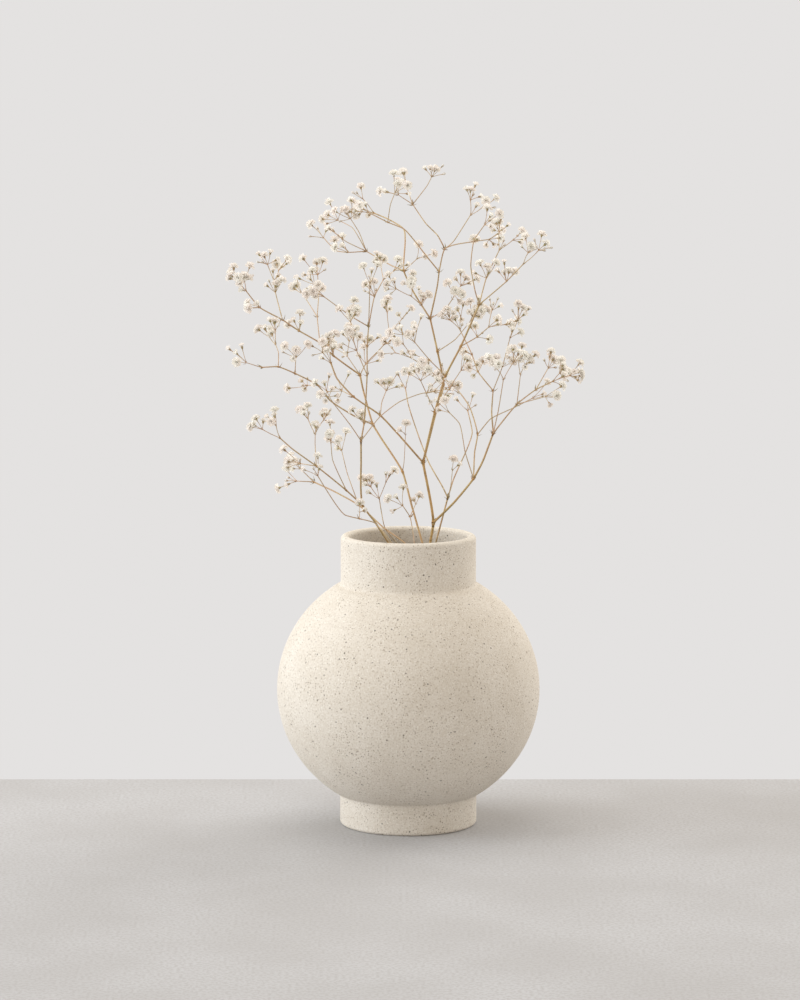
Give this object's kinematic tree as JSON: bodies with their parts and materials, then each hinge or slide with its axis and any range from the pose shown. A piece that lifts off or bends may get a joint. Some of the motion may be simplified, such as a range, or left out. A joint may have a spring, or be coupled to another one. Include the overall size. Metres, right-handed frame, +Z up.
{
  "type": "vase of dried gypsophila",
  "caption": "Round stoneware vase with a straight neck and a low foot, holding airy cut stems of dried gypsophila.",
  "frame": {"origin": "the middle of the vase's flat underside, on the surface that it stands on", "axes": "+Z up along the vase's axis; -Y is the front, the side that faces the viewer; +X is the viewer's right"},
  "size_m": [0.2445, 0.18, 0.4514],
  "materials": {
    "stoneware": "unglazed cream stoneware, dry and matt, with fine dark and pale speckles",
    "dried_stem": "dry golden straw, olive on the thick wood and rusty at the knuckles",
    "petals": "papery off-white dried petals, slightly translucent",
    "calyx": "dry olive-brown cup with darker teeth"
  },
  "bodies": {
    "root": {"vase": "stoneware", "stem_main": "dried_stem", "stem_right": "dried_stem", "stem_middle": "dried_stem", "stem_left": "dried_stem", "stem_low": "dried_stem", "stem_curved": "dried_stem", "stem_thin": "dried_stem", "stem_short": "dried_stem"}
  },
  "joints": []
}
